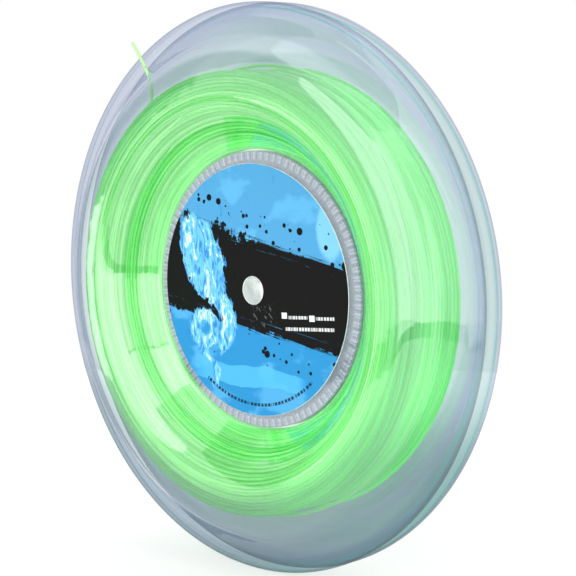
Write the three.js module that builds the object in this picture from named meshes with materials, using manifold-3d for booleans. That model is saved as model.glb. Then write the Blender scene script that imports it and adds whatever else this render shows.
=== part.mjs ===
// String reel for racket sports: two clear dished shells glued to a ribbed core ring, a round paper
// label on each face, and 200 m of 1.3 mm monofilament string wound between the shells.
// Millimetres. The reel stands on its rim: its axis is Y, its front faces -Y and +Z is up.
// The origin is the middle of the hub, on the axis and halfway between the two rims.
import * as THREE from 'three';
import Module from 'manifold-3d';
import { mergeVertices } from 'three/addons/utils/BufferGeometryUtils.js';

const wasm = await Module();
wasm.setup();

// Driving dimensions. Depths are measured from the reel's middle plane, outwards along the axis.
const RIM_RADIUS = 110; // outer radius of both shells
const RIM_DEPTH = 5.4; // outer face of each rim
const RIM_EDGE = 1.8; // thickness of the rim's turned edge, along the axis
const RIM_EDGE_WIDTH = 1.4; // the same edge, across the rim
const WALL = 1.1; // thickness of the moulded shell
const HUB_DEPTH = 4.3; // outer face of the flat hub disc
const BORE_RADIUS = 5.5; // hole for a spindle
const CONE_FOOT = 54.6; // radius where the hub disc turns up into the bulge
const CREST_DEPTH = 21; // flat crest of the bulge, the furthest point from the middle plane
const CREST_INNER = 71.5;
const CREST_OUTER = 84;
const SHOULDER_RADIUS = 98; // the bulge's outer slope
const SHOULDER_DEPTH = 10.7;
const CREASE_RADIUS = 104; // where the slope meets the flat rim
const CREASE_DEPTH = 6.1;
const LABEL_RADIUS = 48.9;
const LABEL_THICKNESS = 0.25;
const CORE_INNER = 43;
const CORE_OUTER = 53.7;
const RIB_INNER = 49.7; // the crush ribs stand in a band at the core's outer edge
const RIB_COUNT = 96; // on each face of the core
const RIB_WIDTH = 1.5;
const RIB_HEIGHT = 0.7;
const STRING_DIAMETER = 1.3;
const WINDING_INNER = 54.6;
const WINDING_CROWN = 86.3;
const WINDING_CROWN_SHIFT = 2; // the winding lies a little towards the front shell
const WINDING_FRONT = 19.4;
const WINDING_REAR = 15.8;
const GAP = 0.3; // clearance between pieces that touch
const STRING_HOLE_RADIUS = 1.6; // hole in the front shell that holds the loose end
const FACETS = 64; // round the axis, turned so that the rims stand on a flat one

// Route of the loose end, from the last turn on the winding, out through the front shell's slope.
const TAIL_ROUTE = [
  [-63.9, -7.4, 59.6],
  [-60.8, -7.4, 62.9],
  [-57.7, -7.7, 66.1],
  [-54.9, -8.3, 69.1],
  [-52.9, -8.9, 71.9],
  [-51.9, -9.3, 74.7],
  [-51.8, -9.5, 77.1],
  [-52.3, -9.5, 79.4],
  [-53.4, -9.3, 81.8],
  [-54.9, -9.2, 84.2],
  [-56.6, -9.2, 86.8],
  [-58.5, -9.3, 89.5],
  [-60.6, -9.5, 92.6],
  [-62.7, -9.8, 95.7],
];
const HOLE_FROM = [-51.6, -9.6, 78.6];
const HOLE_TO = [-56.6, -9.0, 86.9];

// Colours of the moulded plastic, the paper and the string.
const CLEAR_PLASTIC = { color: 0xb9c9d4, roughness: 0.08, metalness: 0, transparent: true, opacity: 0.35 };
const LABEL_PAPER = { color: 0x5cb8f0, roughness: 0.5, metalness: 0 };
const STRING_PLASTIC = { color: 0x86f08a, roughness: 0.35, metalness: 0 };

// A solid of revolution about Y from [radius, depth] points that close on themselves.
function turned(points) {
  const outline = points.map(([radius, depth]) => new THREE.Vector2(radius, depth));
  outline.push(outline[0].clone());
  return new THREE.LatheGeometry(outline, FACETS, Math.PI / FACETS);
}

// A manifold solid with the shape of a closed geometry.
function toSolid(geometry) {
  const bare = geometry.clone();
  bare.deleteAttribute('normal');
  bare.deleteAttribute('uv');
  const welded = mergeVertices(bare, 1e-5);
  const mesh = new wasm.Mesh({
    numProp: 3,
    vertProperties: new Float32Array(welded.attributes.position.array),
    triVerts: new Uint32Array(welded.index.array),
  });
  return new wasm.Manifold(mesh);
}

// The geometry of a manifold solid.
function toGeometry(solid) {
  const mesh = solid.getMesh();
  const geometry = new THREE.BufferGeometry();
  geometry.setAttribute('position', new THREE.BufferAttribute(new Float32Array(mesh.vertProperties), 3));
  geometry.setIndex(new THREE.BufferAttribute(new Uint32Array(mesh.triVerts), 1));
  geometry.computeVertexNormals();
  return geometry;
}

// A tube along a list of points, with a section of the given number of sides.
function tube(route, diameter, sides, steps) {
  const curve = new THREE.CatmullRomCurve3(route.map((point) => new THREE.Vector3(...point)));
  const section = new THREE.Shape();
  for (let i = 0; i < sides; i += 1) {
    const angle = (2 * Math.PI * i) / sides;
    const x = (diameter / 2) * Math.cos(angle);
    const y = (diameter / 2) * Math.sin(angle);
    if (i === 0) section.moveTo(x, y);
    else section.lineTo(x, y);
  }
  section.closePath();
  return new THREE.ExtrudeGeometry(section, { steps, bevelEnabled: false, extrudePath: curve });
}

// The shell's outer surface, from the bore to the rim: hub disc, cone, crest, shoulder and rim.
function shellOutside() {
  const shoulder = new THREE.CubicBezierCurve(
    new THREE.Vector2(CREST_OUTER, CREST_DEPTH),
    new THREE.Vector2(CREST_OUTER + 6.5, CREST_DEPTH),
    new THREE.Vector2(SHOULDER_RADIUS - 4, SHOULDER_DEPTH + 5),
    new THREE.Vector2(SHOULDER_RADIUS, SHOULDER_DEPTH),
  );
  const arc = shoulder.getPoints(5).map((point) => [point.x, point.y]);
  return [
    [BORE_RADIUS, HUB_DEPTH],
    [CONE_FOOT - 1, HUB_DEPTH],
    [CONE_FOOT + 0.4, HUB_DEPTH + 0.7],
    [CREST_INNER - 3.2, CREST_DEPTH - 2.4],
    [CREST_INNER - 1.6, CREST_DEPTH - 0.9],
    [CREST_INNER, CREST_DEPTH],
    ...arc,
    [CREASE_RADIUS - 1, CREASE_DEPTH + 0.6],
    [CREASE_RADIUS + 0.4, CREASE_DEPTH - 0.2],
    [RIM_RADIUS, RIM_DEPTH],
  ];
}

// The same line moved inwards by the wall's thickness, from the bore to the rim's turned edge.
function shellInside(outside) {
  const inside = outside.slice(0, -1).map((point, i) => {
    const before = outside[Math.max(i - 1, 0)];
    const after = outside[i + 1];
    const along = new THREE.Vector2(after[0] - before[0], after[1] - before[1]).normalize();
    return [point[0] + WALL * along.y, point[1] - WALL * along.x];
  });
  inside[0] = [BORE_RADIUS, HUB_DEPTH - WALL];
  inside.push([RIM_RADIUS - RIM_EDGE_WIDTH, RIM_DEPTH - WALL]);
  inside.push([RIM_RADIUS - RIM_EDGE_WIDTH, RIM_DEPTH - RIM_EDGE]);
  inside.push([RIM_RADIUS, RIM_DEPTH - RIM_EDGE]);
  return inside;
}

// One moulded half, its outer face towards +Y.
function shellGeometry() {
  const outside = shellOutside();
  return turned([...shellInside(outside), ...outside.toReversed()]);
}

// A straight drill along the line between two points.
function drill(from, to, radius) {
  const start = new THREE.Vector3(...from);
  const end = new THREE.Vector3(...to);
  const geometry = new THREE.CylinderGeometry(radius, radius, start.distanceTo(end), 12);
  const direction = end.clone().sub(start).normalize();
  const turn = new THREE.Quaternion().setFromUnitVectors(new THREE.Vector3(0, 1, 0), direction);
  const middle = start.clone().add(end).multiplyScalar(0.5);
  geometry.applyMatrix4(new THREE.Matrix4().compose(middle, turn, new THREE.Vector3(1, 1, 1)));
  return geometry;
}

// The front half faces -Y and has the hole for the loose end.
function frontShellGeometry() {
  const shell = shellGeometry();
  shell.rotateX(Math.PI);
  const hole = drill(HOLE_FROM, HOLE_TO, STRING_HOLE_RADIUS);
  return toGeometry(toSolid(shell).subtract(toSolid(hole)));
}

// The core ring between the hub discs, with crush ribs on both faces.
function coreGeometry() {
  const face = HUB_DEPTH - WALL - GAP;
  const seat = face - RIB_HEIGHT;
  let core = toSolid(turned([
    [CORE_INNER, -seat],
    [CORE_OUTER, -seat],
    [CORE_OUTER, seat],
    [CORE_INNER, seat],
  ]));
  const length = CORE_OUTER - RIB_INNER;
  const rib = new THREE.BoxGeometry(length - 0.4, 2 * face, RIB_WIDTH);
  rib.translate(RIB_INNER + length / 2, 0, 0);
  for (let i = 0; i < RIB_COUNT; i += 1) {
    const turnedRib = rib.clone().rotateY((2 * Math.PI * i) / RIB_COUNT);
    core = core.add(toSolid(turnedRib));
  }
  return toGeometry(core);
}

// A round paper label with the bore cut out, its printed face towards +Y.
function labelGeometry() {
  const back = HUB_DEPTH + GAP;
  return turned([
    [BORE_RADIUS, back],
    [LABEL_RADIUS, back],
    [LABEL_RADIUS, back + LABEL_THICKNESS],
    [BORE_RADIUS, back + LABEL_THICKNESS],
  ]);
}

// The outer shape of the whole winding, its front towards +Y: narrow at the core, flared along the
// shells' cones, square-shouldered and slightly crowned.
function windingGeometry() {
  const foot = HUB_DEPTH - WALL - 2 * GAP;
  return turned([
    [WINDING_INNER, -foot],
    [WINDING_INNER + 1.4, -foot - 0.6],
    [WINDING_INNER + 12, -WINDING_REAR + 1.6],
    [WINDING_INNER + 14.5, -WINDING_REAR],
    [WINDING_CROWN - 4.8, -WINDING_REAR],
    [WINDING_CROWN - 2.5, -WINDING_REAR + 1],
    [WINDING_CROWN - 1.3, -WINDING_REAR + 3.2],
    [WINDING_CROWN - 0.2, WINDING_CROWN_SHIFT - 7],
    [WINDING_CROWN, WINDING_CROWN_SHIFT],
    [WINDING_CROWN - 0.2, WINDING_CROWN_SHIFT + 6],
    [WINDING_CROWN - 1.3, WINDING_FRONT - 3.2],
    [WINDING_CROWN - 2.5, WINDING_FRONT - 1],
    [WINDING_CROWN - 4.8, WINDING_FRONT],
    [CREST_INNER + 0.8, WINDING_FRONT],
    [CREST_INNER - 2.1, WINDING_FRONT - 1.8],
    [WINDING_INNER + 1.4, foot + 0.6],
    [WINDING_INNER, foot],
  ]);
}

function piece(name, geometry, look) {
  const mesh = new THREE.Mesh(geometry, new THREE.MeshStandardMaterial(look));
  mesh.name = name;
  return mesh;
}

const reel = new THREE.Group();

const frontShell = piece('front_shell', frontShellGeometry(), CLEAR_PLASTIC);
reel.add(frontShell);

const rearShell = piece('rear_shell', shellGeometry(), CLEAR_PLASTIC);
reel.add(rearShell);

const core = piece('core_ring', coreGeometry(), CLEAR_PLASTIC);
reel.add(core);

const frontLabel = piece('front_label', labelGeometry(), LABEL_PAPER);
frontLabel.rotation.x = Math.PI;
reel.add(frontLabel);

const rearLabel = piece('rear_label', labelGeometry(), LABEL_PAPER);
reel.add(rearLabel);

const winding = piece('string_winding', windingGeometry(), STRING_PLASTIC);
winding.rotation.x = Math.PI;
reel.add(winding);

const looseEnd = piece('string_loose_end', tube(TAIL_ROUTE, STRING_DIAMETER, 8, 20), STRING_PLASTIC);
reel.add(looseEnd);

export default reel;
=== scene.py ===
"""A reel of racket string: two clear dished shells on a ribbed core ring, a printed label on each face,
200 m of 1.3 mm string wound between the shells, and its loose end through a hole in the front shell.

Lengths are in millimetres until a mesh is made. A point on the reel is (radius, depth): radius from the
axis, and depth from the middle plane towards the front, which faces -Y.
"""

import math

import bmesh
import bpy
import numpy as np
from mathutils import Matrix, Vector


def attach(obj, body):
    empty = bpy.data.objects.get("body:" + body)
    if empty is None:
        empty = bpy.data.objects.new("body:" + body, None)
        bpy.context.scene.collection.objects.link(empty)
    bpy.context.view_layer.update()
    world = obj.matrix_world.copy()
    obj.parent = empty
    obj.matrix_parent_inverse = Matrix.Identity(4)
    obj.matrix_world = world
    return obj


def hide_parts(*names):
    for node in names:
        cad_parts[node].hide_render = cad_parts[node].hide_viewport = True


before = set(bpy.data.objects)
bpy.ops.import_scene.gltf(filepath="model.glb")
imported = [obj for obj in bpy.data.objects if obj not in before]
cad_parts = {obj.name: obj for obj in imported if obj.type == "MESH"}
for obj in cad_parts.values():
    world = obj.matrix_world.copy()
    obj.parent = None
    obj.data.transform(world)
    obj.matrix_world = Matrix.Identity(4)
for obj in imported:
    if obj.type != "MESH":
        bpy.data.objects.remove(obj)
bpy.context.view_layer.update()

MM = 0.001
BODY = "root"

# ---------------------------------------------------------------------------------------------------
# Sizes, the same as the CAD model's
# ---------------------------------------------------------------------------------------------------
RIM_RADIUS = 110.0
RIM_DEPTH = 5.4
RIM_EDGE = 1.8
RIM_EDGE_WIDTH = 1.4
WALL = 1.1
HUB_DEPTH = 4.3
BORE_RADIUS = 5.5
CREST_DEPTH = 21.0
CREST_OUTER = 84.0
SHOULDER = (98.0, 10.7)
CREASE = (104.0, 6.1)
LABEL_RADIUS = 48.9
LABEL_THICKNESS = 0.25
LABEL_TURN = 4.93
CORE_INNER = 43.0
CORE_OUTER = 53.7
RIB_INNER = 49.7
RIB_COUNT = 96
RIB_HEIGHT = 0.7
GAP = 0.3
STRING = 1.3
STRING_LENGTH = 200000.0
WINDING_INNER = 54.6
WINDING_CROWN = 86.3
WINDING_FRONT = 19.4
WINDING_REAR = 15.8

# The loose end's route, from the last turn out through the front shell's slope.
LOOSE_END_ROUTE = [
    (-63.9, -7.4, 59.6),
    (-60.8, -7.4, 62.9),
    (-57.7, -7.7, 66.1),
    (-54.9, -8.3, 69.1),
    (-52.9, -8.9, 71.9),
    (-51.9, -9.3, 74.7),
    (-51.8, -9.5, 77.1),
    (-52.3, -9.5, 79.4),
    (-53.4, -9.3, 81.8),
    (-54.9, -9.2, 84.2),
    (-56.6, -9.2, 86.8),
    (-58.5, -9.3, 89.5),
    (-60.6, -9.5, 92.6),
    (-62.7, -9.8, 95.7),
]
HOLE_FROM = (-51.6, -9.6, 78.6)
HOLE_TO = (-56.6, -9.0, 86.9)
STRING_HOLE_RADIUS = 1.6


# ---------------------------------------------------------------------------------------------------
# Camera
# ---------------------------------------------------------------------------------------------------
def make_camera(azimuth=43.1, elevation=7.2, distance=609.1, aim_right=10.25, aim_up=0.5, lens=98.05):
    """A camera looking at the reel's front from the right and a little above."""
    az = math.radians(azimuth)
    el = math.radians(elevation)
    back = Vector((math.cos(el) * math.sin(az), -math.cos(el) * math.cos(az), math.sin(el)))
    right = Vector((math.cos(az), math.sin(az), 0))
    up = back.cross(right)
    data = bpy.data.cameras.new("camera")
    data.lens = lens
    data.sensor_width = 36
    camera = bpy.data.objects.new("camera", data)
    place = (right * aim_right + up * aim_up + back * distance) * MM
    turn = Matrix((right, up, back)).transposed().to_4x4()
    camera.matrix_world = Matrix.Translation(place) @ turn
    bpy.context.collection.objects.link(camera)
    bpy.context.scene.camera = camera


# ---------------------------------------------------------------------------------------------------
# Node graphs
# ---------------------------------------------------------------------------------------------------
class Num:
    """A number in a node graph, so that shader arithmetic reads as a formula."""

    def __init__(self, graph, socket):
        self.graph = graph
        self.socket = socket

    def __add__(self, other):
        return self.graph.math("ADD", self, other)

    def __sub__(self, other):
        return self.graph.math("SUBTRACT", self, other)

    def __mul__(self, other):
        return self.graph.math("MULTIPLY", self, other)

    def __truediv__(self, other):
        return self.graph.math("DIVIDE", self, other)

    __radd__ = __add__
    __rmul__ = __mul__

    def __rsub__(self, other):
        return self.graph.math("SUBTRACT", other, self)


class Graph:
    """The node tree of one material, with short makers for what the materials here use."""

    def __init__(self, name):
        self.material = bpy.data.materials.new(name)
        self.material.use_nodes = True
        self.tree = self.material.node_tree
        self.tree.nodes.clear()
        self.output = self.tree.nodes.new("ShaderNodeOutputMaterial")
        place = self.tree.nodes.new("ShaderNodeTexCoord")
        scale = self.tree.nodes.new("ShaderNodeVectorMath")
        scale.operation = "SCALE"
        scale.inputs["Scale"].default_value = 1 / MM
        self.tree.links.new(place.outputs["Object"], scale.inputs[0])
        self.place = scale.outputs[0]
        split = self.tree.nodes.new("ShaderNodeSeparateXYZ")
        self.tree.links.new(self.place, split.inputs[0])
        self.x = Num(self, split.outputs[0])
        self.y = Num(self, split.outputs[1])
        self.z = Num(self, split.outputs[2])
        self.radius = self.length(self.x, self.z)

    def feed(self, socket, value):
        """Links or sets a socket, whichever the value needs."""
        if isinstance(value, Num):
            self.tree.links.new(value.socket, socket)
        elif isinstance(value, bpy.types.NodeSocket):
            self.tree.links.new(value, socket)
        else:
            socket.default_value = value

    def math(self, operation, *values, clamp=False):
        node = self.tree.nodes.new("ShaderNodeMath")
        node.operation = operation
        node.use_clamp = clamp
        for socket, value in zip(node.inputs, values):
            self.feed(socket, value)
        return Num(self, node.outputs[0])

    def length(self, a, b):
        return self.math("SQRT", a * a + b * b)

    def low(self, a, b):
        return self.math("MINIMUM", a, b)

    def high(self, a, b):
        return self.math("MAXIMUM", a, b)

    def size(self, a):
        return self.math("ABSOLUTE", a)

    def angle(self):
        """The angle round the axis, from +X towards +Z."""
        return self.math("ARCTAN2", self.z, self.x)

    def ramp(self, value, start, end, low=0.0, high=1.0):
        """A smooth step of value from start to end."""
        node = self.tree.nodes.new("ShaderNodeMapRange")
        node.interpolation_type = "SMOOTHSTEP"
        self.feed(node.inputs["Value"], value)
        for name, number in (("From Min", start), ("From Max", end), ("To Min", low), ("To Max", high)):
            node.inputs[name].default_value = number
        return Num(self, node.outputs[0])

    def inside(self, distance, soft=0.12):
        """1 where a signed distance is negative, with an edge soft millimetres wide."""
        return self.ramp(distance, soft / 2, -soft / 2)

    def point(self, x, y, z):
        """A vector, from numbers or Nums, for a texture to be looked up at."""
        node = self.tree.nodes.new("ShaderNodeCombineXYZ")
        for socket, value in zip(node.inputs, (x, y, z)):
            self.feed(socket, value)
        return node.outputs[0]

    def noise(self, vector, scale, detail=2.0, roughness=0.5, distortion=0.0):
        node = self.tree.nodes.new("ShaderNodeTexNoise")
        self.feed(node.inputs["Vector"], vector)
        node.inputs["Scale"].default_value = scale
        node.inputs["Detail"].default_value = detail
        node.inputs["Roughness"].default_value = roughness
        node.inputs["Distortion"].default_value = distortion
        return Num(self, node.outputs[0])

    def cells(self, vector, scale):
        """Points scattered at random: the distance to the nearest one, and its own number from 0 to 1."""
        node = self.tree.nodes.new("ShaderNodeTexVoronoi")
        self.feed(node.inputs["Vector"], vector)
        node.inputs["Scale"].default_value = scale
        chance = self.tree.nodes.new("ShaderNodeSeparateColor")
        self.tree.links.new(node.outputs["Color"], chance.inputs[0])
        return Num(self, node.outputs["Distance"]), Num(self, chance.outputs[0])

    def mix(self, factor, a, b):
        """A colour from a to b."""
        node = self.tree.nodes.new("ShaderNodeMix")
        node.data_type = "RGBA"
        self.feed(node.inputs[0], factor)
        self.feed(node.inputs[6], a if not isinstance(a, tuple) else (*a, 1.0)[:4])
        self.feed(node.inputs[7], b if not isinstance(b, tuple) else (*b, 1.0)[:4])
        return node.outputs[2]

    def bump(self, height, distance, strength=1.0):
        """A surface normal for relief that is distance millimetres deep."""
        node = self.tree.nodes.new("ShaderNodeBump")
        node.inputs["Strength"].default_value = strength
        node.inputs["Distance"].default_value = distance * MM
        self.feed(node.inputs["Height"], height)
        return node.outputs[0]

    def shader(self, kind, **values):
        """A shader node, with each named socket fed."""
        node = self.tree.nodes.new(kind)
        for name, value in values.items():
            self.feed(node.inputs[name.replace("_", " ")], value)
        return node.outputs[0]

    def blend(self, factor, a, b):
        """A shader from a to b."""
        node = self.tree.nodes.new("ShaderNodeMixShader")
        self.feed(node.inputs[0], factor)
        self.tree.links.new(a, node.inputs[1])
        self.tree.links.new(b, node.inputs[2])
        return node.outputs[0]

    def finish(self, shader):
        self.tree.links.new(shader, self.output.inputs["Surface"])
        return self.material


class SkyGraph(Graph):
    """The node tree of the world, where x, y and z are the direction looked in."""

    def __init__(self, tree):
        self.tree = tree
        direction = tree.nodes.new("ShaderNodeTexCoord")
        split = tree.nodes.new("ShaderNodeSeparateXYZ")
        tree.links.new(direction.outputs["Generated"], split.inputs[0])
        self.x = Num(self, split.outputs[0])
        self.y = Num(self, split.outputs[1])
        self.z = Num(self, split.outputs[2])


def rgb(red, green, blue):
    """A colour from 0-255 display values, as the linear values that nodes take."""
    def linear(value):
        value /= 255
        return value / 12.92 if value <= 0.04045 else ((value + 0.055) / 1.055) ** 2.4

    return (linear(red), linear(green), linear(blue), 1.0)


# ---------------------------------------------------------------------------------------------------
# Materials
# ---------------------------------------------------------------------------------------------------
def clear_plastic():
    """Thin clear plastic: it tints what is seen through it, and mirrors a little of the room."""
    g = Graph("clear_plastic")
    facing = g.tree.nodes.new("ShaderNodeLayerWeight")
    facing.inputs["Blend"].default_value = 0.5
    edge_on = Num(g, facing.outputs["Facing"])

    through = g.shader("ShaderNodeBsdfTransparent", Color=plastic_tint(g, edge_on))
    haze = g.shader("ShaderNodeBsdfDiffuse", Color=rgb(190, 198, 224))
    body = g.blend(g.ramp(g.radius, 84.0, 92.0, 0.01, 0.035), through, haze)

    scuffs = g.noise(g.point(g.angle() * 2.0, g.radius, g.y), 0.55, detail=4.0, roughness=0.65)
    polish = g.shader(
        "ShaderNodeBsdfGlossy",
        Color=rgb(255, 255, 255),
        Roughness=g.ramp(scuffs, 0.35, 0.75, 0.02, 0.06),
        Normal=g.bump(g.noise(g.place, 0.06, detail=2.0), 0.10),
    )
    # The cone has a satin ring half way up it, which mirrors almost nothing.
    satin = g.ramp(g.size(g.radius - 62.6), 2.6, 1.6) * 0.8
    mirror = g.ramp(g.radius, 90.0, 98.0, 0.11, 0.05) + 0.5 * g.math("POWER", edge_on, 5.0)
    return g.finish(g.blend(mirror * (1.0 - satin), body, polish))


def plastic_tint(g, edge_on):
    """The tint of one wall: lavender where it is seen edge on, with painted shade that darkens it beyond
    the winding and makes it cooler and darker low on the reel.
    """
    outer = g.ramp(g.radius, 75.0, 82.0)
    flange = g.ramp(g.radius, 103.0, 106.0)
    rim = g.ramp(g.radius, 108.6, 109.2)
    # Painted shade: the tint is cooler and darker low on the reel, standing in for the shaded floor seen
    # through the plastic there.
    lower = g.ramp(g.z, -22.0, -60.0)

    # The tint is darker beyond the winding and darker still on the flange: painted shade for the dark
    # surroundings mirrored in the plastic there.
    pale = g.mix(outer, rgb(253, 255, 254), g.mix(lower, rgb(244, 249, 251), rgb(216, 227, 229)))
    deep = g.mix(outer, rgb(222, 240, 234), g.mix(flange, rgb(206, 209, 226), rgb(178, 184, 208)))
    swirl = g.noise(g.place, 0.03, detail=3.0, roughness=0.6)
    tint = g.mix(g.math("POWER", edge_on, 2.5) * g.ramp(swirl, 0.3, 0.7, 0.85, 1.0), pale, deep)

    # A darker ring where the wall bends from the slope to the flange, and a grey-teal ring where it bends
    # from the crest to the slope, which is a painted reflection of the winding in the rear shell.
    tint = g.mix(g.ramp(g.size(g.radius - 101.0), 4.2, 2.6, 0.0, 0.25), tint, rgb(210, 218, 224))
    tint = g.mix(g.ramp(g.size(g.radius - 87.5), 5.0, 2.5, 0.0, 0.35), tint, rgb(200, 218, 216))
    tint = g.mix(flange * 0.5, tint, g.mix(lower, rgb(226, 229, 240), rgb(188, 201, 212)))

    # A thin sea-green line of light, which runs just inside the rim.
    line = g.ramp(g.size(g.radius - 107.8), 0.5, 0.2) * g.ramp(g.x, -10.0, 20.0)
    tint = g.mix(line * 0.45, tint, rgb(150, 224, 214))
    return g.mix(rim, tint, g.mix(lower, rgb(216, 221, 231), rgb(178, 194, 198)))


def core_plastic():
    """The ribbed core: milky plastic, with painted highlights on each rib's crown, painted shade between
    the ribs and a faint painted glow.
    """
    g = Graph("core_plastic")
    along = g.angle() * (RIB_COUNT / (2 * math.pi))
    phase = g.size(g.math("FRACT", along) - 0.5)
    ribbed = g.ramp(g.radius, RIB_INNER + 0.5, RIB_INNER + 0.9)
    # Painted highlights on each rib's crown, with a painted dark line down its middle, and painted shade
    # between the ribs.
    crown = g.ramp(phase, 0.42, 0.20) * g.ramp(g.radius, CORE_OUTER - 0.1, CORE_OUTER - 0.6)
    crown = crown * (1.0 - 0.5 * g.ramp(g.size(g.radius - 52.0), 0.35, 0.1))
    rib_centre_shade = g.ramp(phase, 0.05, 0.16)
    streaks = g.noise(g.point(g.angle() * 30.0, g.radius * 0.6, 0.0), 1.0, detail=3.0, roughness=0.6)
    bar = g.mix(rib_centre_shade, rgb(142, 146, 170), rgb(180, 181, 203))
    shade_between_ribs = g.mix(streaks, rgb(104, 112, 132), rgb(140, 147, 164))
    plain = g.mix(streaks, rgb(130, 138, 154), rgb(148, 155, 170))
    colour = g.mix(ribbed, plain, g.mix(crown, shade_between_ribs, bar))
    # The emission is a painted glow; the core is no lamp.
    ribs = g.shader(
        "ShaderNodeBsdfPrincipled",
        Base_Color=colour,
        Roughness=g.ramp(streaks, 0.3, 0.7, 0.15, 0.3),
        IOR=1.5,
        Emission_Color=colour,
        Emission_Strength=0.15,
    )
    through = g.shader("ShaderNodeBsdfTransparent", Color=rgb(226, 230, 240))
    return g.finish(g.blend(0.9, through, ribs))


def string_plastic():
    """Drawn polyester string, fluorescent green, each turn a slightly different shade."""
    g = Graph("string_plastic")
    across = g.point(g.radius * 0.8, g.y * 0.8, g.angle() * 0.9)
    turns = g.noise(across, 1.0, detail=2.0, roughness=0.6)
    along = g.noise(g.point(g.radius * 0.25, g.y * 0.25, g.angle() * 2.5), 1.0, detail=2.0)
    shade = g.ramp(turns * 0.65 + along * 0.35, 0.36, 0.60)
    light = g.mix(shade, rgb(84, 180, 80), rgb(131, 212, 124))
    # Turns near the core are a little darker: painted shade deep in the winding.
    deep = g.mix(shade, rgb(80, 178, 82), rgb(120, 208, 116))
    colour = g.mix(g.ramp(g.radius, 54.0, 64.0), deep, light)

    # Darker groups of neighbouring turns.
    groups = g.noise(g.point(g.radius * 0.30, g.y * 0.30, g.angle() * 0.5), 1.0, detail=2.0, roughness=0.6)
    colour = g.mix(g.ramp(groups, 0.47, 0.39, 0.0, 0.6), colour, rgb(54, 178, 58))

    # The free end is painted paler than the winding, with a paler painted glow, as painted light: no other
    # turns reflect their green on to it.
    free = g.ramp(g.radius, 86.8, 88.5)
    colour = g.mix(free, colour, rgb(158, 204, 138))
    glow = g.mix(free, g.mix(shade, rgb(66, 238, 68), rgb(112, 252, 110)), rgb(178, 236, 158))

    # The emission is a painted glow standing in for the string's real fluorescence, with more painted
    # light at the core, on the right and at the lower right, where the room is dimmest.
    strength = g.ramp(free, 0.0, 1.0, 0.265, 0.25) + g.ramp(g.radius, 62.0, 57.0, 0.0, 0.2)
    strength = strength + g.ramp(g.x, 10.0, 60.0, 0.0, 0.15)
    strength = strength + g.ramp(g.x - g.z, 90.0, 118.0, 0.0, 0.25)

    die_lines = g.noise(g.point(g.angle() * 60.0, g.radius * 9.0, g.y * 9.0), 1.0, detail=2.0)
    return g.finish(g.shader(
        "ShaderNodeBsdfPrincipled",
        Base_Color=colour,
        Roughness=g.ramp(die_lines, 0.3, 0.7, 0.25, 0.4),
        IOR=1.5,
        Emission_Color=glow,
        Emission_Strength=strength,
        Normal=g.bump(die_lines, 0.02, 0.4),
    ))


def paper_back():
    """The unprinted side and the cut edge of a label, with a painted glow standing in for the light that
    shines through it from behind.
    """
    g = Graph("label_back")
    fibre = g.noise(g.place, 1.6, detail=5.0, roughness=0.7)
    clouds = g.noise(g.place, 0.35, detail=3.0, roughness=0.6)
    colour = g.mix(g.ramp(clouds * 0.7 + fibre * 0.3, 0.4, 0.6), rgb(206, 208, 210), rgb(244, 244, 242))
    return g.finish(g.shader(
        "ShaderNodeBsdfPrincipled",
        Base_Color=colour,
        Roughness=g.ramp(fibre, 0.3, 0.7, 0.6, 0.8),
        Emission_Color=colour,
        Emission_Strength=0.5,
        Normal=g.bump(fibre, 0.05, 0.5),
    ))


def label_print(mirrored):
    """The printed face: a black brushed band with splatter across blue, a generic wisp and plain marks."""
    g = Graph("label_print_rear" if mirrored else "label_print_front")
    across = g.x * -1.0 if mirrored else g.x
    turn = math.radians(LABEL_TURN)
    u = across * math.cos(turn) + g.z * math.sin(turn)
    v = g.z * math.cos(turn) - across * math.sin(turn)

    colour = blue_ground(g, u, v)
    colour = black_band(g, u, v, colour)
    colour = wisp(g, u, v, colour)
    colour = marks(g, u, v, colour)

    varnish = g.noise(g.point(u, v, 0.0), 0.9, detail=4.0, roughness=0.6)
    return g.finish(g.shader(
        "ShaderNodeBsdfPrincipled",
        Base_Color=colour,
        Roughness=g.ramp(varnish, 0.3, 0.7, 0.46, 0.6),
        IOR=1.22,
        Normal=g.bump(varnish, 0.02, 0.4),
    ))


def blue_ground(g, u, v):
    """Sky blue above and stronger blue below, with a few darker drips and a pale patch at the right."""
    blue = g.mix(g.ramp(v, -16.0, 14.0), rgb(43, 138, 196), rgb(79, 156, 205))
    drips = g.noise(g.point(u * 0.30, v * 0.10, 7.0), 1.0, detail=2.0, roughness=0.5)
    blue = g.mix(g.ramp(drips, 0.64, 0.70, 0.0, 0.35), blue, rgb(46, 140, 204))
    clouds = g.noise(g.point(u * 0.05, v * 0.08, 3.0), 1.0, detail=3.0)
    blue = g.mix(g.ramp(clouds, 0.52, 0.62, 0.0, 0.4), blue, rgb(110, 192, 240))
    disc = g.math("POWER", (u - 41.5) / 6.5, 2.0) + g.math("POWER", (v - 22.0) / 11.0, 2.0)
    blue = g.mix(g.ramp(disc + clouds * 1.2, 1.9, 1.3, 0.0, 0.7), blue, rgb(138, 206, 246))
    sweep = -34.0 - u * 0.10 + (clouds - 0.5) * 8.0
    pale_sweep = g.inside(g.size(v - sweep) - 4.0, 0.5) * g.ramp(u, -40.0, -28.0) * g.ramp(u, 26.0, 20.0)
    return g.mix(pale_sweep * 0.75, blue, rgb(84, 180, 240))


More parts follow.
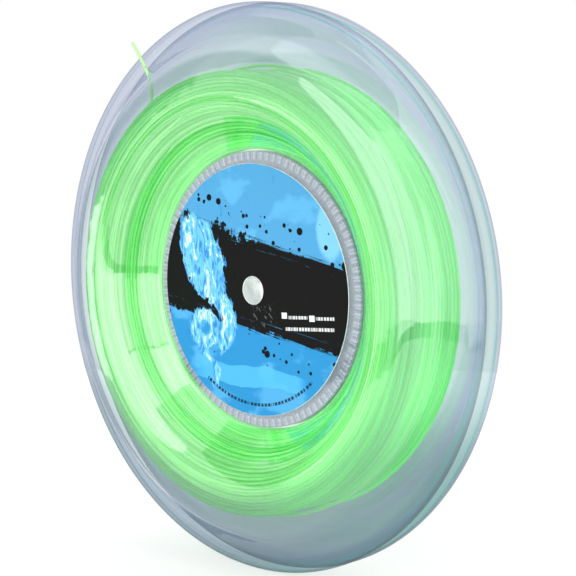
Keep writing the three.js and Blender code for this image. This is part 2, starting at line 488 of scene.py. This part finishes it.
def black_band(g, u, v, colour):
    """A broad stroke of black falling to the right, with bristle streaks, blots and round drops."""
    upper = v - (22.0 - 0.279 * u)
    lower = (-16.3 - 0.205 * u) - v
    strokes = g.noise(g.point(u * 0.035, upper * 1.7, 1.0), 1.0, detail=5.0, roughness=0.7)
    blots = g.noise(g.point(u * 0.20, v * 0.11, 2.0), 1.0, detail=4.0, roughness=0.62)
    left = g.ramp(u, 8.0, -6.0)
    ragged_top = upper + 1.6 + (strokes - 0.5) * 5.0 + left * ((blots - 0.50) * 36.0 - 0.5)
    ragged_low = lower + 0.6 + (strokes - 0.5) * 7.0 + (blots - 0.5) * 5.0
    ink = g.inside(g.high(ragged_top, ragged_low), 0.15)

    # Long bristle marks beside both edges, where the brush ran dry.
    stroke = g.point((u + v * 0.25) * 0.06, (v + 0.25 * u) * 2.6, 11.0)
    bristles = g.noise(stroke, 1.0, detail=3.0, roughness=0.7)
    edge = g.low(g.size(upper + 2.6), g.size(lower + 2.2))
    dry = g.ramp(bristles, 0.53, 0.57) * g.ramp(edge, 3.4, 1.6)
    ink = g.high(ink * (1.0 - dry * g.ramp(bristles, 0.60, 0.63)), dry * g.ramp(edge, 2.6, 1.8))

    # Round drops of random size, thickest near the band.
    near = g.ramp(g.high(upper, lower), 17.0, 7.0)
    for scale, seed in ((0.12, 0.0), (0.19, 31.0), (0.33, 57.0)):
        distance, chance = g.cells(g.point(u + seed, v - seed, 0.0), scale)
        size = g.ramp(chance, 0.35, 1.0, 0.0, 0.30) * near
        drop = g.ramp(distance - size, 0.012, -0.012) * g.ramp(size, 0.02, 0.03)
        ink = g.high(ink, drop)
    return g.mix(ink, colour, rgb(9, 10, 9))


def wisp(g, u, v, colour):
    """A generic plume of pale blue smoke that narrows into a double curl on the left of the label."""
    warp = g.noise(g.point(u * 0.11, v * 0.09, 21.0), 1.0, detail=4.0, roughness=0.65)
    shift = (warp - 0.5) * 9.0
    plume = g.math("POWER", (u + 27.0 + (v - 12.0) * 0.25) / 11.5, 2.0)
    plume = (plume + g.math("POWER", (v - 13.0) / 18.0, 2.0) - 1.0) * 7.0 + shift
    neck = g.size(g.length(u + 24.5, v + 12.0) - 10.0) - 4.2 + shift * 0.35
    neck = g.high(neck, -18.0 - u + g.ramp(v, -12.0, -26.0, -8.0, -2.0))
    curl = g.size(g.length(u + 28.0, v + 15.0) - 5.6) - 3.0 + shift * 0.25
    curl = g.high(curl, u + 26.0 - 6.0)
    tail = g.size(u + 24.5 + (v + 31.0) * 0.35 + g.math("SINE", v * 0.45) * 2.0) - 2.2 + shift * 0.3
    tail = g.high(tail, g.size(v + 31.0) - 7.5)
    body = g.low(g.low(plume, neck), g.low(curl, tail))
    hair = g.noise(g.point(u * 0.30, v * 0.11, 4.0), 1.0, detail=4.0, roughness=0.62, distortion=1.5)
    shade = g.mix(g.ramp(hair, 0.36, 0.52), rgb(44, 126, 200), rgb(112, 194, 240))
    shade = g.mix(g.ramp(hair, 0.54, 0.62), shade, rgb(216, 242, 252))
    fringe = body + (hair - 0.5) * 9.0
    return g.mix(g.inside(fringe, 0.8), colour, shade)


def box_distance(g, u, v, centre, half):
    """Signed distance to an upright rectangle."""
    across = g.size(u - centre[0]) - half[0]
    upward = g.size(v - centre[1]) - half[1]
    return g.high(across, upward)


def marks(g, u, v, colour):
    """Two plain boxes, bars of dashes, a fan of scratches, and a curved row of dashes at the bottom."""
    white = g.inside(box_distance(g, u, v, (15.9, -9.6), (1.35, 1.15)), 0.1)
    white = g.high(white, g.inside(box_distance(g, u, v, (30.0, -10.6), (1.35, 1.15)), 0.1))
    dashes = g.ramp(g.math("FRACT", u * 0.70), 0.16, 0.26) * g.ramp(g.math("FRACT", u * 0.31), 0.06, 0.12)
    bars = (
        ((22.9, -10.3), (4.8, 0.62)),
        ((36.6, -10.6), (4.6, 0.62)),
        ((28.4, -14.7), (12.4, 0.66)),
    )
    for centre, half in bars:
        white = g.high(white, g.inside(box_distance(g, u, v, centre, half), 0.1) * dashes * 0.8)

    scratches = g.ramp(g.noise(g.point(u * 0.9 + v * 0.5, v * 0.35, 13.0), 1.0, detail=2.0), 0.58, 0.64)
    fan = g.inside(box_distance(g, u, v, (4.5, -10.0), (6.0, 4.0)), 3.0)
    colour = g.mix(scratches * fan * 0.5, colour, rgb(110, 118, 120))
    colour = g.mix(white, colour, rgb(232, 236, 236))

    around = g.math("ARCTAN2", v, u) + math.pi / 2
    ring = g.inside(g.size(g.radius - 44.6) - 0.62, 0.1) * g.inside(g.size(around) - 0.68, 0.02)
    fine = g.ramp(g.math("FRACT", around * 24.0), 0.20, 0.30)
    coarse = g.ramp(g.math("FRACT", around * 7.0), 0.06, 0.12)
    return g.mix(ring * fine * coarse * 0.9, colour, rgb(14, 30, 48))


def studio_floor():
    """A pale floor that shines a little of its own light, so that the reel's shadow stays faint."""
    g = Graph("studio_floor")
    grain = g.noise(g.place, 0.05, detail=3.0)
    return g.finish(g.shader(
        "ShaderNodeBsdfPrincipled",
        Base_Color=g.mix(grain, rgb(158, 158, 158), rgb(166, 166, 166)),
        Roughness=0.9,
        Emission_Color=rgb(255, 255, 255),
        Emission_Strength=0.61,
    ))


# ---------------------------------------------------------------------------------------------------
# Mesh makers
# ---------------------------------------------------------------------------------------------------
def add_mesh(name, points, faces, material, smooth=True):
    """A mesh object from points in millimetres."""
    mesh = bpy.data.meshes.new(name)
    points = np.asarray(points, dtype=np.float64) * MM
    mesh.from_pydata(points.tolist(), [], [list(face) for face in faces])
    mesh.validate()
    mesh.update()
    piece = bpy.data.objects.new(name, mesh)
    bpy.context.collection.objects.link(piece)
    mesh.materials.append(material)
    if smooth:
        mesh.shade_smooth()
    dress(piece)
    return piece


def dress(piece):
    """Puts a piece on the reel's one body."""
    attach(piece, BODY)


def rounded(corners, steps=6):
    """A line through (radius, depth, fillet) corners, each corner replaced by an arc."""
    line = []
    for i, (radius, depth, fillet) in enumerate(corners):
        here = np.array([radius, depth])
        if fillet == 0 or i in (0, len(corners) - 1):
            line.append(here)
            continue
        before = np.array(corners[i - 1][:2])
        after = np.array(corners[i + 1][:2])
        to_before = (before - here) / np.linalg.norm(before - here)
        to_after = (after - here) / np.linalg.norm(after - here)
        half = math.acos(float(np.clip(to_before @ to_after, -1, 1))) / 2
        reach = fillet / math.tan(half)
        start = here + to_before * reach
        end = here + to_after * reach
        for k in range(steps + 1):
            t = k / steps
            line.append((1 - t) ** 2 * start + 2 * t * (1 - t) * here + t * t * end)
    return line


def bezier(a, b, c, d, steps):
    """Points of a cubic curve, without its two ends."""
    a, b, c, d = (np.array(p, dtype=float) for p in (a, b, c, d))
    times = np.linspace(0, 1, steps + 1)[1:-1]
    return [
        (1 - t) ** 3 * a + 3 * t * (1 - t) ** 2 * b + 3 * t * t * (1 - t) * c + t**3 * d
        for t in times
    ]


def revolve(outline, segments, front=True):
    """Vertices and faces of a closed outline of (radius, depth) turned round the axis."""
    outline = np.array(outline, dtype=float)
    turns = np.arange(segments) * (2 * math.pi / segments)
    count = len(outline)
    side = -1.0 if front else 1.0
    ring = np.stack([
        np.outer(np.cos(turns), outline[:, 0]).ravel(),
        np.tile(side * outline[:, 1], segments),
        np.outer(np.sin(turns), outline[:, 0]).ravel(),
    ], axis=1)
    faces = []
    for s in range(segments):
        here = s * count
        there = ((s + 1) % segments) * count
        for p in range(count):
            q = (p + 1) % count
            faces.append((here + p, here + q, there + q, there + p))
    return ring, faces


def outward(piece):
    """Turns a closed mesh's faces outward."""
    mesh = bmesh.new()
    mesh.from_mesh(piece.data)
    bmesh.ops.recalc_face_normals(mesh, faces=mesh.faces)
    if mesh.calc_volume(signed=True) < 0:
        bmesh.ops.reverse_faces(mesh, faces=mesh.faces)
    mesh.to_mesh(piece.data)
    mesh.free()


def sharpen(piece, degrees=40):
    """Keeps true corners crisp under smooth shading."""
    piece.data.set_sharp_from_angle(angle=math.radians(degrees))


# ---------------------------------------------------------------------------------------------------
# Shells
# ---------------------------------------------------------------------------------------------------
def shell_outside():
    """The outer surface's line from the bore to the rim."""
    line = rounded([
        (BORE_RADIUS, HUB_DEPTH, 0),
        (54.3, HUB_DEPTH, 1.6),
        (70.6, CREST_DEPTH, 14.0),
        (CREST_OUTER, CREST_DEPTH, 0),
    ], steps=8)
    line += bezier((CREST_OUTER, CREST_DEPTH), (CREST_OUTER + 6.5, CREST_DEPTH),
                   (SHOULDER[0] - 4, SHOULDER[1] + 5), SHOULDER, 16)
    line += rounded([
        (*SHOULDER, 0),
        (*CREASE, 2.2),
        (RIM_RADIUS - 0.5, RIM_DEPTH, 0),
    ], steps=6)
    line.append(np.array([RIM_RADIUS - 0.15, RIM_DEPTH - 0.15]))
    line.append(np.array([RIM_RADIUS, RIM_DEPTH - 0.5]))
    return line


def shell_outline():
    """The whole closed outline of the wall."""
    outside = shell_outside()
    inner_edge = RIM_RADIUS - RIM_EDGE_WIDTH
    inside = []
    for i in range(len(outside) - 3):
        before = outside[max(i - 1, 0)]
        after = outside[i + 1]
        along = (after - before) / np.linalg.norm(after - before)
        inside.append(outside[i] + WALL * np.array([along[1], -along[0]]))
    inside[0] = np.array([BORE_RADIUS, HUB_DEPTH - WALL])
    inside += [
        np.array([inner_edge - 0.3, RIM_DEPTH - WALL]),
        np.array([inner_edge, RIM_DEPTH - WALL - 0.25]),
        np.array([inner_edge + 0.1, RIM_DEPTH - RIM_EDGE]),
        np.array([RIM_RADIUS - 0.3, RIM_DEPTH - RIM_EDGE]),
        np.array([RIM_RADIUS, RIM_DEPTH - RIM_EDGE + 0.3]),
    ]
    return outside + inside[::-1]


def make_shell(name, front, material):
    """One clear dished shell, the front one or the rear one."""
    points, faces = revolve(shell_outline(), 240, front)
    shell = add_mesh(name, points, faces, material)
    outward(shell)
    sharpen(shell)
    return shell


def drill_string_hole(shell):
    """Cuts the loose end's hole through the shell's slope."""
    start = Vector(HOLE_FROM)
    end = Vector(HOLE_TO)
    middle = (start + end) / 2
    turn = (end - start).to_track_quat("Z", "Y").to_matrix().to_4x4()
    mesh = bmesh.new()
    bmesh.ops.create_cone(
        mesh, cap_ends=True, segments=40, radius1=STRING_HOLE_RADIUS * MM, radius2=STRING_HOLE_RADIUS * MM,
        depth=(end - start).length * MM, matrix=Matrix.Translation(middle * MM) @ turn,
    )
    data = bpy.data.meshes.new("drill")
    mesh.to_mesh(data)
    mesh.free()
    drill = bpy.data.objects.new("drill", data)
    bpy.context.collection.objects.link(drill)
    cut = shell.modifiers.new("hole", "BOOLEAN")
    cut.operation = "DIFFERENCE"
    cut.solver = "EXACT"
    cut.object = drill
    bpy.context.view_layer.update()
    evaluated = shell.evaluated_get(bpy.context.evaluated_depsgraph_get())
    result = bpy.data.meshes.new_from_object(evaluated)
    shell.modifiers.remove(cut)
    shell.data = result
    bpy.data.objects.remove(drill)
    sharpen(shell)


# ---------------------------------------------------------------------------------------------------
# Core ring
# ---------------------------------------------------------------------------------------------------
def make_core(material):
    """A ring whose faces are cut into rounded crush ribs near its outer edge."""
    face = HUB_DEPTH - WALL - 0.1
    seat = face - RIB_HEIGHT
    per_rib = 10
    segments = RIB_COUNT * per_rib
    phase = (np.arange(segments) % per_rib) / per_rib
    wave = np.clip(1.35 * np.sin(math.pi * phase) - 0.25, 0, 1)
    radii = [CORE_INNER, RIB_INNER - 0.1, RIB_INNER + 0.4, CORE_OUTER - 0.5, CORE_OUTER]
    rise = [0.0, 0.0, 1.0, 1.0, 0.25]
    points = []
    for s in range(segments):
        angle = 2 * math.pi * s / segments
        for side in (-1, 1):
            pairs = list(zip(radii, rise))
            for radius, share in (pairs if side < 0 else pairs[::-1]):
                depth = side * (seat + RIB_HEIGHT * share * wave[s])
                points.append((radius * math.cos(angle), depth, radius * math.sin(angle)))
    count = 2 * len(radii)
    faces = []
    for s in range(segments):
        here = s * count
        there = ((s + 1) % segments) * count
        for p in range(count):
            q = (p + 1) % count
            faces.append((here + p, here + q, there + q, there + p))
    core = add_mesh("core_ring_fine", points, faces, material)
    outward(core)
    sharpen(core, 50)
    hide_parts("core_ring")


# ---------------------------------------------------------------------------------------------------
# Labels
# ---------------------------------------------------------------------------------------------------
def make_label(name, front, printed, back):
    """A paper disc with a fine bevel, printed on its outer face only."""
    depth = HUB_DEPTH + GAP
    top = depth + LABEL_THICKNESS
    outline = [
        (BORE_RADIUS, depth),
        (LABEL_RADIUS, depth),
        (LABEL_RADIUS, top - 0.06),
        (LABEL_RADIUS - 0.06, top),
        (BORE_RADIUS + 0.06, top),
        (BORE_RADIUS, top - 0.06),
    ]
    points, faces = revolve(outline, 192, front)
    label = add_mesh(name, points, faces, back, smooth=False)
    outward(label)
    label.data.materials.append(printed)
    side = -1 if front else 1
    for face in label.data.polygons:
        if face.normal.y * side > 0.9:
            face.material_index = 1
    return label


# ---------------------------------------------------------------------------------------------------
# String
# ---------------------------------------------------------------------------------------------------
def half_widths(radius):
    """How far the winding reaches at a radius, to the front and to the rear."""
    foot = HUB_DEPTH - WALL - 2 * GAP
    flare = foot + 0.6 + max(0.0, radius - WINDING_INNER - 1.4) * 1.02
    corner = max(0.0, radius - (WINDING_CROWN - 4.6)) * 0.55
    return min(flare, WINDING_FRONT - corner), min(flare, WINDING_REAR - corner)


def wound_path(pitch, seed=7, steps_per_turn=64):
    """The string's centreline on the reel, layer on layer: samples of (angle in turns, radius, depth), and
    the sample at which each layer starts."""
    rng = np.random.default_rng(seed)
    spacing = 1.325
    first = WINDING_INNER + STRING / 2 + 0.05
    layers = int((WINDING_CROWN - STRING / 2 - first) / spacing) + 1
    wound = 0.0
    samples = []
    starts = []
    for layer in range(layers):
        radius = first + spacing * layer
        front, rear = half_widths(radius)
        reach_front = front - STRING / 2 - 0.05
        reach_rear = rear - STRING / 2 - 0.05
        width = reach_front + reach_rear
        turns = max(2.0, width / pitch) + rng.uniform(0.15, 0.85)
        count = int(turns * steps_per_turn)
        t = np.arange(count) / steps_per_turn
        share = t / turns
        dwell = 0.45 / turns
        moved = np.clip((share - dwell) / (1 - 2 * dwell), 0, 1)
        depth = reach_front - moved * width if layer % 2 == 0 else -reach_rear + moved * width
        knots = rng.normal(0, 1, size=(int(turns * 2) + 8,))
        wander = 0.26 * np.interp(t * 2, np.arange(len(knots)), knots)
        depth = depth + wander * np.clip(np.minimum(share, 1 - share) * turns / 0.9, 0, 1)
        depth = np.clip(depth, -reach_rear, reach_front)
        bob = rng.normal(0, 1, size=(int(turns * 3) + 8,))
        lift = np.interp(t * 3, np.arange(len(bob)), bob) * 0.10
        climb = np.clip(1 - (turns - t) / 0.3, 0, 1) * spacing
        starts.append(sum(len(s) for s in samples))
        samples.append(np.stack([wound + t, radius + lift + climb, depth], axis=1))
        wound += turns
    path = np.concatenate([inner_end(samples[0][0], steps_per_turn), *samples])
    lead = len(path) - sum(len(s) for s in samples)
    starts = [start + lead for start in starts]
    return np.concatenate([path, last_turns(path[-1], steps_per_turn)]), starts


def inner_end(first, steps_per_turn):
    """The string's first few centimetres, which lie over the front of the lowest layers."""
    turns = np.array([-0.388, -0.375, -0.36, -0.345, -0.32, -0.15])
    radius = np.array([58.8, 58.0, 57.2, 56.6, 56.0, first[1]])
    depth = np.array([6.2, 5.6, 4.9, 4.3, 3.5, first[2]])
    fine = np.arange(turns[0], 0, 1 / steps_per_turn)
    return np.stack([fine, np.interp(fine, turns, radius), np.interp(fine, turns, depth)], axis=1)


def last_turns(start, steps_per_turn):
    """Brings the string round the crown to where the loose end leaves it."""
    end_angle, end_radius, end_depth = loose_end_start()
    turns = 1.4 + (-end_angle - start[0] - 1.4) % 1.0
    count = int(round(turns * steps_per_turn))
    share = (np.arange(count) + 1) / count
    ease = share * share * (3 - 2 * share)
    lift_off = np.clip((share - 0.86) / 0.14, 0, 1)
    depth = start[2] + (end_depth - start[2]) * ease
    radius = start[1] + 1.15 * np.clip(np.abs(depth - start[2]) / 5.0, 0, 1)
    radius = radius + (end_radius - radius[-1]) * lift_off * lift_off
    return np.stack([start[0] + turns * share, radius, depth], axis=1)


def loose_end_start():
    """The loose end's first point as an angle in turns, a radius before sagging, and a depth."""
    x, y, z = LOOSE_END_ROUTE[0]
    radius = math.hypot(x, z)
    for _ in range(5):
        radius = math.hypot(x, z + sag_at(radius))
    return math.atan2(z + sag_at(radius), x) / (2 * math.pi), radius, -y


def sag_at(radius):
    """How far the turns at a radius hang down from a true circle."""
    return 0.7 * (radius - WINDING_INNER) / (WINDING_CROWN - WINDING_INNER)


def to_space(path):
    """Samples of a wound path as points. The string runs clockwise seen from the front."""
    angle = -path[:, 0] * 2 * math.pi
    radius = path[:, 1]
    return np.stack([radius * np.cos(angle), -path[:, 2], radius * np.sin(angle) - sag_at(radius)], axis=1)


def length_of(points):
    """The length of the line through points."""
    return float(np.linalg.norm(np.diff(points, axis=0), axis=1).sum())


def tube_mesh(points, diameter, sides):
    """Vertices and faces of a capped tube along closely spaced points."""
    points = np.asarray(points, dtype=float)
    along = np.gradient(points, axis=0)
    along /= np.linalg.norm(along, axis=1)[:, None]
    out = points * np.array([1.0, 0.0, 1.0])
    out -= (out * along).sum(axis=1)[:, None] * along
    out /= np.linalg.norm(out, axis=1)[:, None]
    side = np.cross(along, out)
    angles = np.arange(sides) * (2 * math.pi / sides)
    ring = np.cos(angles)[None, :, None] * out[:, None, :]
    ring += np.sin(angles)[None, :, None] * side[:, None, :]
    vertices = (points[:, None, :] + ring * diameter / 2).reshape(-1, 3)
    count = len(points)
    start = np.arange(count - 1)[:, None] * sides
    here = np.arange(sides)[None, :]
    nxt = (here + 1) % sides
    quads = np.stack([start + here, start + nxt, start + sides + nxt, start + sides + here], axis=-1)
    faces = quads.reshape(-1, 4).tolist()
    faces.append(list(range(sides))[::-1])
    faces.append([(count - 1) * sides + k for k in range(sides)])
    return vertices, faces


def make_winding(material):
    """All 200 m, in three pieces from the core outwards. Halving finds the pitch for about that length."""
    low = 1.2
    high = 2.4
    for _ in range(18):
        pitch = (low + high) / 2
        path, starts = wound_path(pitch)
        if length_of(to_space(path)) > STRING_LENGTH:
            low = pitch
        else:
            high = pitch
    points = to_space(path)
    layers = len(starts)
    cuts = [0, starts[layers * 11 // 20], starts[layers * 16 // 20], len(points) - 1]
    names = ["string_inner_layers", "string_middle_layers", "string_outer_layers"]
    for name, a, b in zip(names, cuts[:-1], cuts[1:]):
        vertices, faces = tube_mesh(points[a:b + 1], STRING, 6)
        piece = add_mesh(name, vertices, faces, material)
        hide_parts("string_winding")


def smooth_route(points, steps=8):
    """A Catmull-Rom curve through points."""
    points = np.array(points, dtype=float)
    padded = np.vstack([2 * points[0] - points[1], points, 2 * points[-1] - points[-2]])
    line = []
    for i in range(1, len(padded) - 2):
        p0, p1, p2, p3 = padded[i - 1:i + 3]
        for k in range(steps):
            t = k / steps
            line.append(0.5 * (2 * p1 + (p2 - p0) * t + (2 * p0 - 5 * p1 + 4 * p2 - p3) * t**2
                               + (3 * p1 - p0 - 3 * p2 + p3) * t**3))
    line.append(points[-1])
    return np.array(line)


def make_loose_end(material):
    """The stretch of string from the last turn out through the front shell to its cut tip."""
    route = smooth_route(LOOSE_END_ROUTE)
    vertices, faces = tube_mesh(route, STRING, 16)
    piece = add_mesh("string_end", vertices, faces, material)
    sharpen(piece, 60)
    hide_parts("string_loose_end")


# ---------------------------------------------------------------------------------------------------
# Studio
# ---------------------------------------------------------------------------------------------------
# How bright the room is in front of the reel, where the walls behind it are 1.
FRONT_ROOM = 0.42

# Bright panels in front of the reel: brightness, and the left, right, bottom and top of each, as angles
# in degrees: azimuth from -Y towards +X, and elevation.
PANELS = [
    (1.5, 33.0, 66.0, -10.0, 60.0),
    (0.5, 62.0, 100.0, -20.0, 50.0),
    (0.7, -47.0, 33.0, -9.0, 60.0),
    (1.3, -30.0, 33.0, -11.0, 50.0),
]
LAMP = (2.6, -50.6, -47.6, -12.6, -4.4)
CEILING = 0.8
FLOOR_RADIUS = 450.0


def make_floor(material):
    """A small round table top, so that the lights below eye level stay in view of the reel."""
    count = 96
    points = []
    for k in range(count):
        turn = 2 * math.pi * k / count
        point = Vector((FLOOR_RADIUS * math.cos(turn), FLOOR_RADIUS * math.sin(turn), -RIM_RADIUS))
        points.append(point * MM)
    mesh = bpy.data.meshes.new("floor")
    mesh.from_pydata(points, [], [tuple(range(count))])
    mesh.materials.append(material)
    floor = bpy.data.objects.new("floor", mesh)
    bpy.context.collection.objects.link(floor)


def panel(g, azimuth, elevation, left, right, bottom, top, soft=0.5):
    """1 inside a rectangle of sky, with an edge soft degrees wide."""
    inside = g.ramp(azimuth, left, left + soft) * g.ramp(azimuth, right, right - soft)
    return inside * g.ramp(elevation, bottom, bottom + soft) * g.ramp(elevation, top, top - soft)


def make_studio():
    """A white room with bright panels in front of the reel for the clear plastic to mirror."""
    world = bpy.data.worlds.new("studio")
    bpy.context.scene.world = world
    world.use_nodes = True
    g = SkyGraph(world.node_tree)
    azimuth = g.math("ARCTAN2", g.x, g.y * -1.0) * (180 / math.pi)
    elevation = g.math("ARCSINE", g.z) * (180 / math.pi)
    light = g.ramp(g.y, -0.25, 0.0, FRONT_ROOM, 1.0)
    for brightness, *edges in PANELS:
        light = light + brightness * panel(g, azimuth, elevation, *edges)
    light = light + CEILING * g.ramp(elevation, 59.5, 60.0)
    brightness, *edges = LAMP
    light = light + brightness * panel(g, azimuth, elevation, *edges, soft=0.15)

    # The backdrop itself is plain white from every side.
    seen = Num(g, g.tree.nodes.new("ShaderNodeLightPath").outputs["Is Camera Ray"])
    light = light + seen * (1.0 - light)
    background = g.tree.nodes["Background"]
    g.feed(background.inputs["Strength"], light)
    background.inputs["Color"].default_value = (1, 1, 1, 1)
    bpy.context.scene.view_settings.view_transform = "Standard"
    make_floor(studio_floor())


# ---------------------------------------------------------------------------------------------------
# The reel
# ---------------------------------------------------------------------------------------------------
make_camera()
string = string_plastic()
make_loose_end(string)
make_winding(string)

clear = clear_plastic()
front_shell = make_shell("front_shell_fine", True, clear)
drill_string_hole(front_shell)
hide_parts("front_shell")
rear_shell = make_shell("rear_shell_fine", False, clear)
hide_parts("rear_shell")
make_core(core_plastic())

back = paper_back()
front_label = make_label("front_label_fine", True, label_print(False), back)
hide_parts("front_label")
rear_label = make_label("rear_label_fine", False, label_print(True), back)
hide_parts("rear_label")

make_studio()
